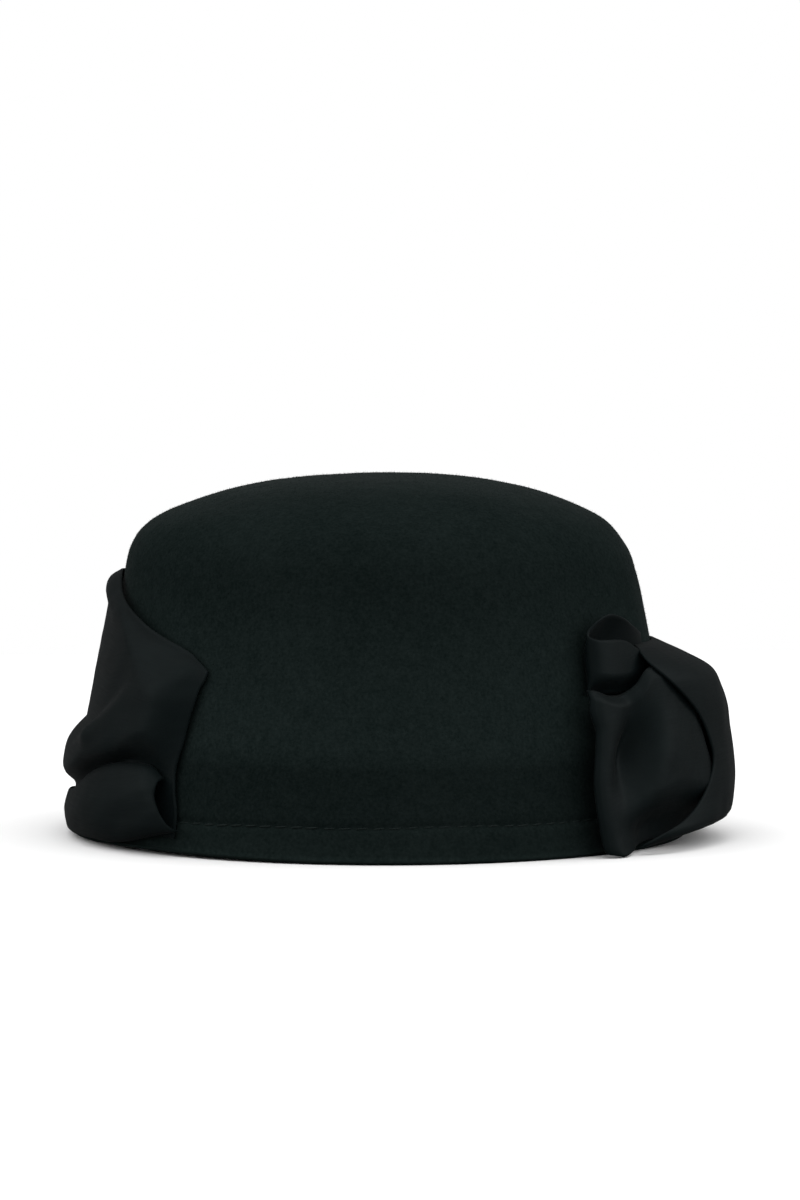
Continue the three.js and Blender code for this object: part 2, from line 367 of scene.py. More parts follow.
def stitch_faces(points):
    """The faces of every stitch: its sides and its two ends."""
    stitches, beads, sides = points.shape[:3]
    faces = []
    ring = np.arange(beads * sides).reshape(beads, sides)
    wrapped = np.concatenate([ring, ring[:, :1]], 1)
    one = grid_faces(wrapped).tolist() + [ring[0].tolist(), ring[-1, ::-1].tolist()]
    for k in range(stitches):
        faces += [[n + k * beads * sides for n in face] for face in one]
    return faces


outer_row = stitch_row(0.0, 1)
inner_row = stitch_row(-FELT, -1)
stitch_points = np.concatenate([outer_row, inner_row])
stitches = piece("stitching", stitch_points, stitch_faces(stitch_points))
print(STITCHES, "stitches of", round(rim_length / STITCHES, 2), "mm")

# %% [markdown]
# ## The nap
#
# Brushed felt carries a short nap of loose wool ends, which softens its outline against the
# light. Particle hair would do it for one picture, but a particle system is no mesh. So each
# loose end is a tiny closed spike with three sides, placed on the outside by an even draw.

# %% Loose wool ends
NAP = 30000  # loose ends on the outside of the cap
NAP_THICK = 0.035  # radius of a fibre at its root
NAP_SUNK = 0.05  # the root is this deep in the felt
NAP_SHORT, NAP_MORE = 0.35, 0.55  # length of the shortest, and how much longer the longest is


def nap_mesh():
    """Points and faces of the loose ends; the few that would touch the floor are left out."""
    draw = np.random.default_rng(11)
    patch = felt_outside
    around, steps = patch.shape[:2]
    patch = np.concatenate([patch, patch[:1]])
    across = np.linalg.norm(np.diff(patch, axis=0), axis=2)[:, :-1]
    tall = np.linalg.norm(np.diff(patch, axis=1), axis=2)[:-1]
    weight = (across * tall).ravel()
    cell = draw.choice(weight.size, NAP, p=weight / weight.sum())
    i, j = np.divmod(cell, steps - 1)
    s, t = draw.random(NAP)[:, None], draw.random(NAP)[:, None]
    a, b, c, d = patch[i, j], patch[i + 1, j], patch[i + 1, j + 1], patch[i, j + 1]
    root = lerp(lerp(a, b, s), lerp(d, c, s), t)
    side = b - a
    side /= np.linalg.norm(side, axis=1)[:, None]
    out = np.cross(b - a, d - a)
    out /= np.linalg.norm(out, axis=1)[:, None]
    rise = np.cross(out, side)
    swirl = draw.normal(0, 1, (NAP, 2))
    lean = 0.4 + 0.6 * draw.random(NAP)[:, None]
    way = out * lean + side * (0.5 + 0.6 * swirl[:, :1]) + rise * 0.5 * swirl[:, 1:]
    way /= np.linalg.norm(way, axis=1)[:, None]
    length = NAP_SHORT + NAP_MORE * draw.random(NAP)[:, None] ** 2
    width = np.cross(way, rise)
    width /= np.linalg.norm(width, axis=1)[:, None]
    third = np.cross(way, width)
    root = root - NAP_SUNK * out
    turns = np.radians([0, 120, 240])
    base = [root + NAP_THICK * (math.cos(t) * width + math.sin(t) * third) for t in turns]
    points = np.stack([*base, root + length * way], 1)
    points = points[points[..., 2].min(axis=1) > 0]
    spike = np.array([[0, 1, 3], [1, 2, 3], [2, 0, 3], [2, 1, 0]])
    faces = (np.arange(len(points))[:, None, None] * 4 + spike).reshape(-1, 3)
    return points, faces.tolist()


nap = piece("felt_nap", *nap_mesh())

# %% [markdown]
# ## The satin
#
# The scarf is black satin used double, so its edges are soft folds and not raw cuts. A cloth
# simulation would drop it into folds of its own choosing; here the folds are known, so they are
# drawn. A surface of the cloth is a formula of two shares, across and up. On top of it comes a
# table of hills and hollows, each a soft ridge with a place, a direction and a height, and last
# a fine crumple, longer along the cloth than across it, which keeps the light from lying flat.

# %% Folds and closed cloth
SATIN = 1.0  # thickness of the doubled satin
ROUND_OVER = 0.8  # the cloth thins to a rounded edge over this width
MM_PER_DEGREE = 1.6  # one degree of angle on the wall


def folded(folds, angle, height):
    """How far a table of hills and hollows lifts the cloth at places on the map."""
    lifted = np.zeros(np.broadcast(angle, height).shape)
    for fold in folds:
        aside = (angle - fold["angle"]) * MM_PER_DEGREE
        above = height - fold["height"]
        lean = math.radians(fold["lean"])
        run = aside * math.cos(lean) + above * math.sin(lean)
        rise = above * math.cos(lean) - aside * math.sin(lean)
        wide = fold["wide"] * (1 - fold["steep"] * np.sign(rise))
        lifted += fold["lift"] * np.exp(-((run / fold["long"]) ** 2) - (rise / wide) ** 2)
    return lifted


def crumple(angle, height, amount, length=16.0, width=4.5, lean=0.0, start=0.0):
    """Fine wrinkles; lean turns them from level."""
    aside, turn = angle * MM_PER_DEGREE, math.radians(lean)
    run = aside * math.cos(turn) + height * math.sin(turn)
    rise = height * math.cos(turn) - aside * math.sin(turn)
    flat = np.stack([run / length, rise / width, np.full(run.shape, start)], -1)
    fine = np.stack([run / length * 2.3, rise / width * 2.3, np.full(run.shape, start + 7)], -1)
    return amount * (lumps(flat, 1.0) + 0.4 * lumps(fine, 1.0))


def shares(count, edge_share):
    """Even shares from 0 to 1 with extra ones next to both ends, where the edge is rounded."""
    near = edge_share * np.array([0.12, 0.3, 0.6])
    return np.unique(np.concatenate([np.linspace(0, 1, count), near, 1 - near]))


def walk(points, axis):
    """The length walked along a grid of points, from its first line."""
    steps = np.linalg.norm(np.diff(points, axis=axis), axis=2)
    start = np.zeros_like(np.take(steps, [0], axis))
    return np.concatenate([start, np.cumsum(steps, axis)], axis)


def cloth(name, middle, thickness=SATIN):
    """A closed cloth with rounded edges from the grid of points of its middle surface."""
    sideways, upwards = np.gradient(middle, axis=0), np.gradient(middle, axis=1)
    facing = np.cross(sideways, upwards)
    facing /= np.linalg.norm(facing, axis=2)[..., None]
    u, v = walk(middle, 0), walk(middle, 1)
    inward = np.minimum(np.minimum(u, u[-1:] - u), np.minimum(v, v[:, -1:] - v))
    fall = 1 - np.clip(inward / ROUND_OVER, 0, 1)
    half = thickness / 2 * np.sqrt(1 - fall**2)[..., None]
    across, up = middle.shape[:2]
    front = np.arange(across * up).reshape(across, up)
    back = front.copy()
    back[1:-1, 1:-1] = across * up + np.arange((across - 2) * (up - 2)).reshape(across - 2, -1)
    points = np.concatenate(
        [(middle + facing * half).reshape(-1, 3), (middle - facing * half)[1:-1, 1:-1].reshape(-1, 3)]
    )
    grid_uv = np.stack([u, v], -1)
    uv = np.concatenate([grid_uv.reshape(-1, 2), grid_uv[1:-1, 1:-1].reshape(-1, 2)])
    faces = np.concatenate([grid_faces(front), grid_faces(back)[:, ::-1]])
    made = piece(name, points, faces.tolist(), uv)
    width, length = float(v[:, -1].max()), float(u[-1].max())
    diagonals = np.diff(middle, axis=0)[:, 1:], np.diff(middle, axis=1)[1:]
    area = float(np.linalg.norm(np.cross(*diagonals), axis=2).sum())
    print(name, "is cut", round(width), "by", round(length), "mm,", round(area / 100), "square cm")
    return made, {"flat": (width * MM, length * MM), "area": area * MM**2}


# %% [markdown]
# ## The scarf round the cap
#
# The scarf is folded lengthwise into soft pleats. Its free front edge lies on the side away from
# the bow, where it fans out; it goes round behind and narrows towards the bow. Each row of its
# table is one upright line: where it stands at its upper edge (angle, top) and at its lower one
# (foot, bottom), how high it is tucked flat behind the lower fold, how far it stands off above
# that, the swelling pleat with its height and half-height, and the bead under the upper edge.

# %% The scarf band
CLEARANCE = 0.6  # gap kept between one layer and the next
BAND = table(
    "angle foot top bottom tuck off swell swell_at reach bead",
    (-252, -252, 47, 9, 9, 0.5, 0, 28, 12, 0),
    (-238, -238, 51, 7, 8, 0.5, 0, 28, 12, 0),
    (-222, -222, 55, 5, 6, 0.9, 0.6, 28, 12, 0.3),
    (-203, -203, 58, 4, 5, 1.5, 3.0, 30, 13, 0.6),
    (-180, -180, 61, 4, 5, 1.5, 4.0, 30, 13, 0.8),
    (-155, -155, 65, 4, 5, 1.5, 4.0, 30, 13, 1.0),
    (-130, -130, 70, 4, 8, 1.5, 4.0, 28, 12, 1.2),
    (-112, -112, 74.5, 6, 11.5, 1.1, 4.4, 25, 9, 1.5),
    (-98, -98, 76.7, 8, 12.5, 0.8, 4.5, 23.8, 7.6, 1.8),
    (-88, -88, 76, 8, 13.5, 0.8, 4.5, 23.4, 6.8, 1.8),
    (-79, -79, 72.3, 8, 17, 1.2, 4.6, 24.8, 6.2, 1.0),
    (-71, -71, 68.8, 8, 21.2, 2.2, 4.2, 29.5, 6.5, 0.4),
    (-64, -64, 65.5, 8, 23.6, 3.4, 3.0, 33.5, 8, 0.1),
    (-57, -60, 62, 8, 25.2, 4.8, 1.2, 38, 9, 0),
    (-49.5, -56.5, 58.5, 7, 24.6, 6.4, 0.4, 40, 9, 0.2),
    (-46, -53, 56.5, 7, 23.4, 5.9, 0.2, 42, 9, 0.2),
    (-43.5, -49.5, 54, 6, 22.2, 4.2, 0.1, 42, 8, 0.2),
    (-41.3, -44.8, 51.8, 5, 20.6, 0.7, 0.1, 42, 8, 0.2),
)
BAND_EDGE = table(
    "height aside",
    (6, 0.8), (12, 0.1), (18, -1.5), (24, -2.4), (32, -1.9), (38, -1.4), (43, -1), (47, -0.8),
    (51, 0.2), (60, 0),
)
BAND_FOLDS = table(
    "angle height lean long wide steep lift",
    (-70.6, 32.0, 14, 5, 3.0, 0.1, 1.3),
    (-59, 56, 40, 14, 4, 0, -0.4),
    (-46.5, 35, 80, 8, 3.6, 0, -1.2),
)
TOP_ROUND, FAN_ROUND = 2.4, 15  # the upper edge turns in over this height, and where it fans out
TUCK_RISE, FAN_RISE = 4.5, 11  # the cloth leaves the tuck over this height, and where it fans out
BEAD_AT, BEAD_WIDE = 4.5, 3.2  # the bead lies this far below the upper edge, and its half-width
EDGE_OFF = 0.05  # the upper edge all but touches the felt
EDGE_LIFT = 2.1  # where the scarf fans out, its upper edge stands off the felt
BAND_LIP = 0.15  # the front edge below the tuck stands off the felt like a lip


def band_surface():
    """The middle of the scarf's cloth: across runs round the cap, up runs up the cap."""
    across, up = np.meshgrid(shares(340, 0.002), shares(90, 0.012), indexing="ij")
    row = along(BAND, across)
    height = lerp(row["bottom"], row["top"], up)
    angle = lerp(row["foot"], row["angle"], up)
    angle = angle + at(BAND_EDGE, height, "height", "aside") * smoothstep(angle, -52, -43)
    below_top = row["top"] - height
    swell = row["swell"] * np.exp(-(((height - row["swell_at"]) / row["reach"]) ** 4))
    bead = row["bead"] * np.exp(-(((below_top - BEAD_AT) / BEAD_WIDE) ** 2))
    top_round = lerp(TOP_ROUND, FAN_ROUND, smoothstep(angle, -76, -52))
    under = lerp(TUCK_RISE, FAN_RISE, smoothstep(angle, -61, -50))
    share = np.clip(below_top / top_round, 0, 1)
    rolled = share**3 * (share * (share * 6 - 15) + 10)
    lifted = smoothstep(height, row["tuck"], row["tuck"] + under) * rolled
    lip = BAND_LIP * smoothstep(across, 0.982, 0.994) * (1 - lifted)
    detail = crumple(angle, height, 0.22, 26, 8, 12) + folded(BAND_FOLDS, angle, height)
    fanned = smoothstep(angle, -90, -68) * (1 - smoothstep(angle, -62, -42))
    edge_off = EDGE_OFF + EDGE_LIFT * fanned
    seat = lerp(edge_off, CLEARANCE, smoothstep(below_top, 0, top_round))
    off = seat + lip + np.maximum(lifted * (row["off"] + swell + bead + detail), 0)
    return on_wall(angle, height, off + SATIN / 2)


band, band_cut = cloth("scarf", band_surface())
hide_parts("scarf_band")

# %% The puffed lower fold
# The scarf's lowest pleat is a soft roll over the flat band, open at its front end.
ON_SCARF = 2 * CLEARANCE + SATIN  # stand-off of what lies on the scarf
ROLL = table(
    "angle top bottom puff",
    (-124, 5.6, 4.8, 0.2),
    (-117, 7.6, 4.0, 0.2),
    (-110, 9.8, 3.2, 0.3),
    (-103, 11.4, 2.6, 0.3),
    (-97, 12.2, 2.2, 0.4),
    (-90, 12.8, 2, 0.7),
    (-84, 13.6, 2, 1.2),
    (-78, 16, 2, 2.0),
    (-72, 20, 2.2, 2.9),
    (-66.5, 22.6, 2.4, 3.8),
    (-61, 24.2, 2.4, 4.4),
    (-55.5, 24.8, 3.4, 4.8),
    (-51, 24.6, 5.2, 4.9),
    (-48, 23.4, 6.8, 4.6),
    (-45.9, 21.4, 7.6, 4.2),
)
ROLL_EDGE = table(
    "height aside",
    (2, 3.6), (7, 3.4), (9.5, 2.2), (13, 0.6), (17, -0.9), (20, -1.4), (26, -3),
)
ROLL_FOLDS = table(
    "angle height lean long wide steep lift",
    (-55, 9, 14, 10, 4, 0, -1.2),
    (-49, 20, -50, 4, 3.2, 0, 0.6),
    (-70, 12, 20, 10, 4, 0, 0.4),
)


def roll_surface():
    """The middle of the roll's cloth, which bulges out between its two long edges."""
    across, up = np.meshgrid(shares(170, 0.006), shares(64, 0.02), indexing="ij")
    row = along(ROLL, across)
    turn = math.pi * (up - 0.5)
    height = lerp(row["bottom"], row["top"], 0.5 + 0.5 * np.sin(turn))
    arch = np.cos(turn) ** 0.8
    angle = row["angle"] + at(ROLL_EDGE, height, "height", "aside") * smoothstep(across, 0.8, 1)
    detail = crumple(angle, height, 0.2, 16, 6, 12, 3.0) + folded(ROLL_FOLDS, angle, height)
    seat = lerp(CLEARANCE, ON_SCARF, smoothstep(height, 1, 9))
    off = seat + SATIN / 2 + arch * np.maximum(row["puff"] + detail, 0.2)
    return on_wall(angle, height, off)


roll, roll_cut = cloth("scarf_lower_fold", roll_surface())
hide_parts("scarf_roll")

# %% [markdown]
# ## The bow
#
# The bow is three pieces of the same doubled satin: the outer loop, which goes from its open
# mouth out over its belly and back to the scarf; the gathered front panel, which comes out of
# the loop and runs down to a tip on the rim; and the upper pleat, which lies against the felt,
# turns round at its left and comes back in front.

# %% The outer loop
LOOP = table(
    "mouth mouth_height mouth_off belly arch back back_height",
    (44, 2.0, 7.5, 8.0, 5.5, 96, 2.4),
    (44.8, 3.6, 10, 7.8, 4.2, 104, 3),
    (47.4, 5.8, 12, 5.6, 2.4, 104, 4.6),
    (53, 8.6, 13, 5.8, 0.8, 108, 7),
    (58.6, 13, 14, 5.8, 0, 110, 11.5),
    (63.2, 18.6, 15.2, 5.8, 0, 116, 18),
    (66, 24.6, 16, 5.6, 0, 119, 26),
    (65.4, 31, 16, 6, 0, 120, 32),
    (63, 37.5, 15.6, 7.2, 0, 120, 38),
    (59.4, 43, 14.8, 7.5, 0, 118, 43.5),
    (55.4, 48.5, 13.2, 7.4, 0, 114, 48.5),
    (53.2, 53, 10.2, 3.6, 0, 108, 52.5),
    (55, 56.3, 6, 0.3, 0, 100, 55.5),
    (59.5, 56.8, 2.0, 0, 0, 92, 56.4),
    (62, 56.8, 0.6, 0, 0, 88, 56.8),
)
LOOP_FOLDS = table(
    "angle height lean long wide steep lift",
    (84, 24, 85, 14, 3, 0, -0.5),
    (72, 36, 80, 12, 4, 0, 0.4),
    (66, 12, 60, 6, 3, 0, -0.5),
)


def loop_surface():
    """The middle of the loop's cloth, from its mouth over its belly to the scarf behind."""
    across, up = np.meshgrid(shares(150, 0.01), shares(120, 0.01), indexing="ij")
    row = along(LOOP, up)
    angle = lerp(row["mouth"], row["back"], across)
    arch = row["arch"] * np.sin(math.pi * across)
    height = lerp(row["mouth_height"], row["back_height"], across) + arch
    back_off = lerp(ON_SCARF, CLEARANCE, smoothstep(height, 49, 56))
    edges = lerp(row["mouth_off"], back_off, smoothstep(across, 0, 1))
    detail = crumple(angle, height, 0.25, 18, 7, 75, 11.0) + folded(LOOP_FOLDS, angle, height)
    off = edges + (row["belly"] + detail) * np.sin(math.pi * across)
    return on_wall(angle, height, off + SATIN / 2)


loop, loop_cut = cloth("bow_outer_loop", loop_surface())
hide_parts("bow_loop")

# %% The gathered front panel
PANEL = table(
    "low low_height high high_height off_low off off_high turned",
    (37.8, 1.2, 38.2, 46.6, 7.4, 8.0, 7.0, 1.2),
    (39.4, 0.3, 40, 46.2, 8.6, 9.0, 7.8, 2.2),
    (42.4, 1.0, 43.2, 44.7, 7.2, 9.6, 8.2, 2.5),
    (46, 2.6, 46.8, 44.8, 5.2, 10.6, 8.6, 2.5),
    (50.5, 3.2, 49.4, 47.2, 3.8, 12, 10.4, 2.0),
    (55, 3.2, 53.2, 51.8, 3.6, 13, 11.4, 1.2),
    (60, 3.2, 58.8, 48.8, 4.2, 13.8, 12.8, 1.0),
    (65, 3.4, 63.4, 42.2, 5.4, 14.8, 14.0, 0.8),
    (69.5, 3.8, 66.4, 35.6, 6.6, 14.0, 13.0, 0.8),
    (74.5, 4.4, 69, 29.4, 6.8, 10.6, 9.8, 0.8),
    (80.4, 5, 72.4, 25.6, 6.0, 6.6, 6, 0),
)
PANEL_EDGE = table(
    "height aside",
    (0, 0), (2, -1.4), (5, -1.8), (11, -2.3), (16.5, -2.5), (22, -2.3), (30, -1.0), (34, -0.4),
    (36.2, -0.3), (38, -0.6), (41, -0.9), (44, -0.5), (47, 0),
)
PANEL_FOLDS = table(
    "angle height lean long wide steep lift",
    (46.0, 27.4, 56, 12, 5.2, -0.2, -8.0),
    (48, 8, 6, 12, 5.0, 0, -2.0),
)
TURN_HEIGHT = 3.2  # the panel's upper edge turns in over this height
EDGE_IN = 1.2  # its front edge turns in this much


def panel_surface():
    """The middle of the panel's cloth, from its front edge back under the loop."""
    across, up = np.meshgrid(shares(150, 0.012), shares(120, 0.015), indexing="ij")
    row = along(PANEL, across)
    height = lerp(row["low_height"], row["high_height"], up)
    near_left = 1 - smoothstep(across, 0, 0.25)
    aside = at(PANEL_EDGE, height, "height", "aside")
    angle = lerp(row["low"], row["high"], up) + aside * near_left
    off = row["off"] + (row["off_low"] - row["off"]) * (1 - smoothstep(up, 0, 0.36))
    off = off + (row["off_high"] - row["off"]) * smoothstep(up, 0.5, 1)
    off = off - row["turned"] * (1 - smoothstep(row["high_height"] - height, 0, TURN_HEIGHT))
    off = off - EDGE_IN * (1 - smoothstep(across, 0, 0.03))
    detail = crumple(angle, height, 0.2, 14, 6, 65, 21.0) + folded(PANEL_FOLDS, angle, height)
    return on_wall(angle, height, np.maximum(off + detail, CLEARANCE) + SATIN / 2)


panel, panel_cut = cloth("bow_front_panel", panel_surface())
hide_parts("bow_tail")

# %% The upper pleat
PLEAT = table(
    "angle foot top bottom off hood turned",
    (60, 59.5, 53.6, 49.5, 6.0, 0, 0.4),
    (56.5, 56, 55.4, 47, 6.2, 0, 0.8),
    (53.5, 53, 57.6, 45.6, 6.2, 0, 1.6),
    (50.5, 49.8, 59.4, 44.8, 6.3, 0, 3.0),
    (47.5, 46.6, 60.0, 44.6, 6.7, 0, 4.6),
    (44.2, 43.2, 60.2, 44.8, 7.0, 0, 6.0),
    (41.6, 40.4, 60.4, 45.4, 6.4, 0.2, 4),
    (40.2, 39.8, 61.4, 45.6, 4.4, 1.0, 1.5),
    (40.8, 41.2, 63.2, 46, 1.8, 3.2, 0),
    (43.6, 45.5, 66, 47, 0.7, 5.4, 0),
    (47, 50, 67.2, 47, 0.6, 5.8, 0),
    (52, 54.5, 65.8, 48, 0.6, 5.0, 0),
    (58, 60, 63, 50, 0.6, 3.0, 0),
    (65, 66, 60.4, 52, 0.6, 0.8, 0),
)
PLEAT_SATIN = 0.8  # the pleat is pressed a little thinner
HOOD_HEIGHT = 9  # its upper edge stands off over this height
FOOT_HEIGHT = 6  # and its lower edge turns in over this one


def pleat_surface():
    """The middle of the pleat's cloth: in front, round its left end, and back against the felt."""
    across, up = np.meshgrid(shares(190, 0.015), shares(60, 0.03), indexing="ij")
    row = along(PLEAT, 1 - across)
    angle = lerp(row["foot"], row["angle"], up)
    height = lerp(row["bottom"], row["top"], up)
    hood = row["hood"] * np.clip(1 - (row["top"] - height) / HOOD_HEIGHT, 0, 1) ** 1.6
    turned = row["turned"] * (1 - smoothstep(height - row["bottom"], 0, FOOT_HEIGHT))
    off = np.maximum(row["off"] + hood - turned, CLEARANCE)
    return on_wall(angle, height, off + SATIN / 2)


pleat, pleat_cut = cloth("bow_upper_pleat", pleat_surface(), PLEAT_SATIN)
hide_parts("bow_knot")

# %% [markdown]
# ## Finishes
#
# Colours are written as they are seen on a screen and turned to linear light by one function.
# One small function adds a node, with its settings and with what goes into its sockets.

# %% Colour and node helpers


def linear(code):
    """An sRGB hex colour as linear red, green and blue, and full alpha."""
    parts = [int(code[i : i + 2], 16) / 255 for i in (1, 3, 5)]
    return (*(p / 12.92 if p <= 0.04045 else ((p + 0.055) / 1.055) ** 2.4 for p in parts), 1.0)


def add(tree, kind, inputs=None, **settings):
    """Adds a shader node; an input is a value, or the socket that it comes from."""
    made = tree.nodes.new("ShaderNode" + kind)
    for name, value in settings.items():
        setattr(made, name, value)
    for name, value in (inputs or {}).items():
        if isinstance(value, bpy.types.NodeSocket):
            tree.links.new(value, made.inputs[name])
        else:
            made.inputs[name].default_value = value
    return made


def finish(name):
    """An empty material, its tree and its surface shader."""
    made = bpy.data.materials.new(name)
    made.use_nodes = True
    return made, made.node_tree, made.node_tree.nodes["Principled BSDF"]


# %% [markdown]
# ## Wool felt
#
# Blocked wool felt is matted fibre, brushed and steamed. It has no gloss: light sinks in and
# comes back evenly, with a faint pale sheen where the nap is seen from the side. Close up it is
# mottled in clumps of a few millimetres, and fine fibres lie across them every way. Light and
# shade are also painted into its colour by height: it is paler in a belt half-way up the wall,
# darker below that and towards the top, and pale again at the rim.

# %% Matted wool, brushed
felt, tree, surface = finish("wool_felt_black")
place = add(tree, "TexCoord").outputs["Object"]
fibres = {"Vector": place, "Scale": 1 / (0.9 * MM), "Detail": 3.0, "Roughness": 0.6}
fibres = add(tree, "TexNoise", fibres)
clumps = add(tree, "TexNoise", {"Vector": place, "Scale": 1 / (3 * MM), "Detail": 3.0})
patches = add(tree, "TexNoise", {"Vector": place, "Scale": 1 / (30 * MM), "Detail": 2.0})
mottle = add(tree, "Mix", {0: 0.3, 2: fibres.outputs["Fac"], 3: clumps.outputs["Fac"]})
mottle = add(tree, "Mix", {0: 0.2, 2: mottle.outputs[0], 3: patches.outputs["Fac"]})
ramp = add(tree, "ValToRGB", {"Fac": mottle.outputs[0]})
ramp.color_ramp.elements[0].position = 0.36
ramp.color_ramp.elements[0].color = linear("#131b1a")
ramp.color_ramp.elements[1].position = 0.64
ramp.color_ramp.elements[1].color = linear("#1f2726")
height = add(tree, "SeparateXYZ", {"Vector": place}).outputs["Z"]
PAINTED_LIGHT_TO = 0.1  # the painted light and shade are given from the rim, 0, to this height, 1
height = add(tree, "Math", {0: height, 1: 1 / PAINTED_LIGHT_TO}, operation="MULTIPLY").outputs[0]
# Painted light and shade by height: paler at the rim and in a belt half-way up the wall, darker just
# above the stitching and towards the top.
painted_light_by_height = add(tree, "ValToRGB", {"Fac": height})
painted_light_by_height.color_ramp.elements[0].color = linear("#ebebeb")
painted_light_by_height.color_ramp.elements[1].color = linear("#d5d5d5")
for position, shade in (
    (0.095, "#e2e2e2"),
    (0.11, "#d3d3d3"),
    (0.255, "#d1d1d1"),
    (0.275, "#e6e6e6"),
    (0.325, "#f9f9f9"),
    (0.46, "#f3f3f3"),
    (0.61, "#e7e7e7"),
    (0.75, "#d5d5d5"),
):
    painted_light_by_height.color_ramp.elements.new(position).color = linear(shade)
layers = {0: 1.0, 6: ramp.outputs["Color"], 7: painted_light_by_height.outputs["Color"]}
# The painted light and shade multiply the mottled colour of the felt.
felt_with_painted_light = add(tree, "Mix", layers, data_type="RGBA", blend_type="MULTIPLY")
tree.links.new(felt_with_painted_light.outputs[2], surface.inputs["Base Color"])
bump = add(tree, "Bump", {"Height": fibres.outputs["Fac"], "Strength": 0.5, "Distance": 0.3 * MM})
bump = {"Height": clumps.outputs["Fac"], "Strength": 0.3, "Normal": bump.outputs["Normal"]}
bump = add(tree, "Bump", {**bump, "Distance": 0.3 * MM})
tree.links.new(bump.outputs["Normal"], surface.inputs["Normal"])
surface.inputs["Roughness"].default_value = 0.95
surface.inputs["Specular IOR Level"].default_value = 0.0
surface.inputs["Sheen Weight"].default_value = 0.032
surface.inputs["Sheen Roughness"].default_value = 0.22
crown.data.materials.append(felt)
print(felt.name, len(tree.nodes), "nodes")

# %% Loose wool and thread
# Loose wool has no gloss at all: it blurs the cap's outline and dusts its dark wall.
wool, tree, surface = finish("loose_wool_black")
place = add(tree, "TexCoord").outputs["Object"]
shade = add(tree, "TexNoise", {"Vector": place, "Scale": 1 / (2 * MM)})
ramp = add(tree, "ValToRGB", {"Fac": shade.outputs["Fac"]})
ramp.color_ramp.elements[0].color = linear("#0e1615")
ramp.color_ramp.elements[1].color = linear("#1b2423")
tree.links.new(ramp.outputs["Color"], surface.inputs["Base Color"])
surface.inputs["Roughness"].default_value = 0.9
surface.inputs["Specular IOR Level"].default_value = 0.0
nap.data.materials.append(wool)

# Spun polyester is smoother and rounder than wool, so each stitch catches a faint light.
thread, tree, surface = finish("polyester_thread_black")
place = add(tree, "TexCoord").outputs["Object"]
ply = add(tree, "TexNoise", {"Vector": place, "Scale": 1 / (0.4 * MM)})
ramp = add(tree, "ValToRGB", {"Fac": ply.outputs["Fac"]})
ramp.color_ramp.elements[0].color = linear("#151b1a")
ramp.color_ramp.elements[1].color = linear("#232b2a")
tree.links.new(ramp.outputs["Color"], surface.inputs["Base Color"])
surface.inputs["Roughness"].default_value = 0.5
surface.inputs["Specular IOR Level"].default_value = 0.05
stitches.data.materials.append(thread)
print(wool.name, "and", thread.name)

# %% [markdown]
# ## Satin
#
# Satin is woven with long floats of smooth yarn on its face, so it takes a soft, broad gloss
# that is drawn out along the folds. Real floats are a tenth of a millimetre wide, too fine to
# show here, so they are drawn five times as coarse, as faint ribs along the cloth.

# %% Woven satin
satin, tree, surface = finish("satin_weave_black")
cloth_place = add(tree, "UVMap", uv_map="cloth").outputs["UV"]
drawn = add(tree, "Mapping", {"Vector": cloth_place, "Scale": (1 / (14 * MM), 1 / (0.5 * MM), 1.0)})
floats = add(tree, "TexNoise", {"Vector": drawn.outputs["Vector"], "Scale": 1.0, "Detail": 2.0})
uneven = add(tree, "TexNoise", {"Vector": cloth_place, "Scale": 1 / (9 * MM), "Detail": 2.0})
ramp = add(tree, "ValToRGB", {"Fac": uneven.outputs["Fac"]})
ramp.color_ramp.elements[0].color = linear("#0a1011")
ramp.color_ramp.elements[1].color = linear("#0f1718")
tree.links.new(ramp.outputs["Color"], surface.inputs["Base Color"])
gloss = add(tree, "MapRange", {"Value": floats.outputs["Fac"], "To Min": 0.46, "To Max": 0.62})
tree.links.new(gloss.outputs["Result"], surface.inputs["Roughness"])
bump = add(tree, "Bump", {"Height": floats.outputs["Fac"], "Strength": 0.25, "Distance": 0.15 * MM})
tree.links.new(bump.outputs["Normal"], surface.inputs["Normal"])
surface.inputs["Specular IOR Level"].default_value = 0.13
surface.inputs["Specular Tint"].default_value = linear("#eaffff")
surface.inputs["Sheen Weight"].default_value = 0.02
surface.inputs["Sheen Roughness"].default_value = 0.3
for satin_piece in (band, roll, loop, panel, pleat):
    satin_piece.data.materials.append(satin)
print(satin.name, len(tree.nodes), "nodes")

# %% [markdown]
# ## Floor, light and camera
#
# The cap stands on plain white paper between two large soft boxes and under a third, in an even
# pale room. Black satin shows what it mirrors more than its own colour, and white all round
# would turn it grey. A studio puts black cards beside the thing, so that only the soft boxes
# shine in it. Here the same is done by ray: a glossy ray meets a dark room and dark paper, any
# other ray a pale room and grey paper, so that little light comes back up under the cap and
# its undersides stay in shade, and the camera sees the paper almost clear white.

# %% The floor
PAPER = 1.5  # the sheet of paper is this long and wide
half = PAPER / 2
floor_mesh = bpy.data.meshes.new("floor")
corners = [(-half, -half, 0), (half, -half, 0), (half, half, 0), (-half, half, 0)]
floor_mesh.from_pydata(corners, [], [(0, 1, 2, 3)])
floor = bpy.data.objects.new("floor", floor_mesh)
bpy.context.scene.collection.objects.link(floor)
paper, tree, surface = finish("white_paper")
path = add(tree, "LightPath")
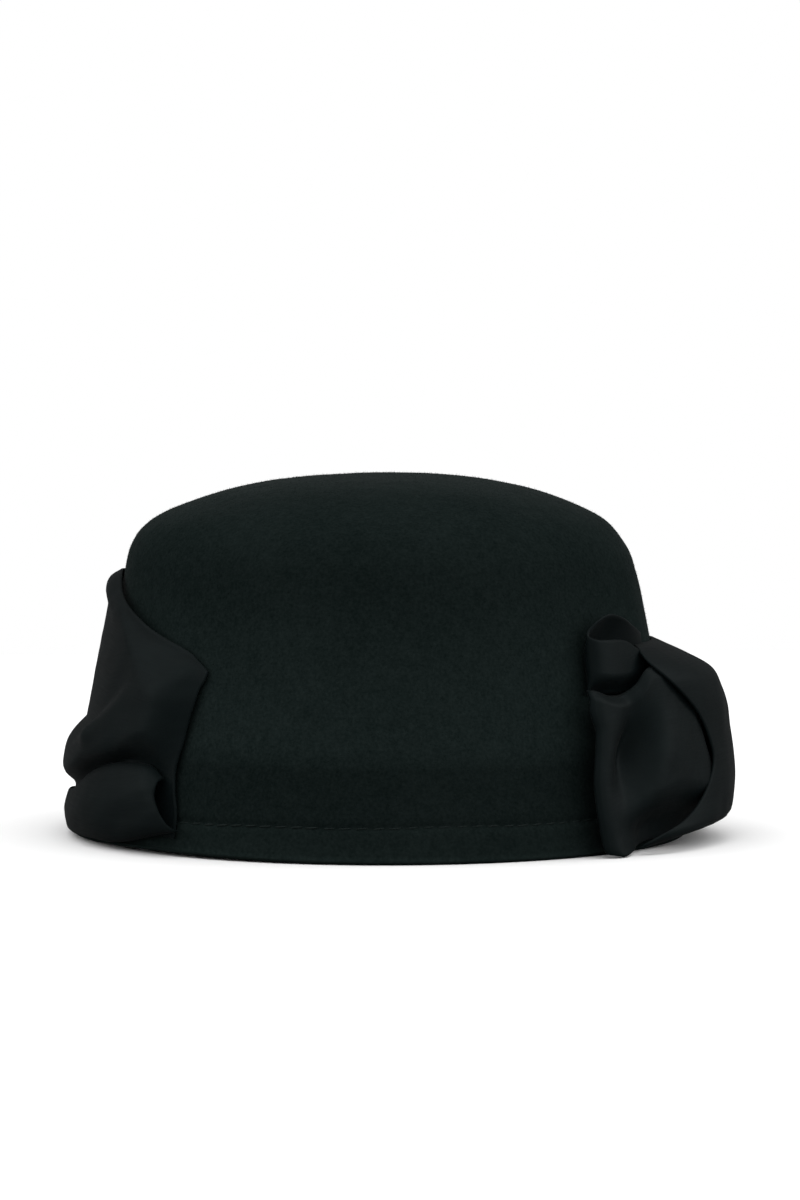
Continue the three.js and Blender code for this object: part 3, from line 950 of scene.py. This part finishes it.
# Light bouncing off the paper sees it grey, so the cap's undersides stay in shade.
shade = {0: path.outputs["Is Glossy Ray"], 6: linear("#9a9a9a"), 7: linear("#5a5a5a")}
shade = add(tree, "Mix", shade, data_type="RGBA")
shade = {0: path.outputs["Is Camera Ray"], 6: shade.outputs[2], 7: linear("#fafafa")}
shade = add(tree, "Mix", shade, data_type="RGBA")
tree.links.new(shade.outputs[2], surface.inputs["Base Color"])
surface.inputs["Roughness"].default_value = 0.9
surface.inputs["Specular IOR Level"].default_value = 0.1
floor_mesh.materials.append(paper)
print("paper", PAPER, "m square")

# %% Lights
foot = Vector((AXIS.x * MM, AXIS.y * MM, 0))  # under the middle of the crown, on the floor
focus = foot + Vector((0, 0, 0.05))  # half-way up the cap


def soft_box(name, place, size, power):
    """A large soft light that faces the cap."""
    light = bpy.data.lights.new(name, "AREA")
    light.shape = "RECTANGLE"
    light.size, light.size_y = size
    light.energy = power
    made = bpy.data.objects.new(name, light)
    made.location = place
    made.rotation_mode = "QUATERNION"
    made.rotation_quaternion = (focus - Vector(place)).to_track_quat("-Z", "Y")
    bpy.context.scene.collection.objects.link(made)
    print(name, power, "W")


soft_box("soft_box_left", (-1.3, 0.1, 0.9), (0.9, 1.3), 4)
soft_box("soft_box_right", (1.3, 0.1, 0.9), (0.9, 1.3), 4.6)
soft_box("soft_box_over", (0, 0, 1.6), (1.4, 1.4), 5)

# %% The room
world = bpy.data.worlds.new("studio")
world.use_nodes = True
bpy.context.scene.world = world
tree = world.node_tree
backdrop = tree.nodes["Background"]
backdrop.inputs["Color"].default_value = linear("#ffffff")
room = add(tree, "Background", {"Color": linear("#ffffff"), "Strength": 1.05})
dark = add(tree, "Background", {"Color": linear("#ffffff"), "Strength": 0.1})
path = add(tree, "LightPath")
lit = {0: path.outputs["Is Glossy Ray"], 1: room.outputs[0], 2: dark.outputs[0]}
lit = add(tree, "MixShader", lit)
mixed = {0: path.outputs["Is Camera Ray"], 1: lit.outputs[0], 2: backdrop.outputs[0]}
mixed = add(tree, "MixShader", mixed)
tree.links.new(mixed.outputs[0], tree.nodes["World Output"].inputs["Surface"])
# Colours go into the picture as they are, without a film's curve.
bpy.context.scene.view_settings.view_transform = "Standard"
print(world.name, len(tree.nodes), "nodes")

# %% The camera
DISTANCE = 1.8  # from the cap to the camera
AZIMUTH, ELEVATION = math.radians(-4), math.radians(5.6)
SEEN_HEIGHT = 352.8 * MM  # the height of the picture at the cap
AIM_ASIDE, AIM_UP = 6.2, 67.6  # the middle of the picture, from the foot of the cap
SENSOR = 36  # width of the film
level = math.cos(ELEVATION)
back = Vector((math.sin(AZIMUTH) * level, -math.cos(AZIMUTH) * level, math.sin(ELEVATION)))
right = Vector((math.cos(AZIMUTH), math.sin(AZIMUTH), 0))
up = back.cross(right)
aim = foot + right * AIM_ASIDE * MM + up * AIM_UP * MM
lens = bpy.data.cameras.new("camera")
lens.sensor_width = SENSOR
lens.lens = lens.sensor_width * DISTANCE / SEEN_HEIGHT
camera = bpy.data.objects.new("camera", lens)
camera.location = foot + back * DISTANCE
camera.rotation_mode = "QUATERNION"
camera.rotation_quaternion = (aim - camera.location).to_track_quat("-Z", "Y")
bpy.context.scene.collection.objects.link(camera)
bpy.context.scene.camera = camera
print("lens", round(lens.lens, 1), "mm")
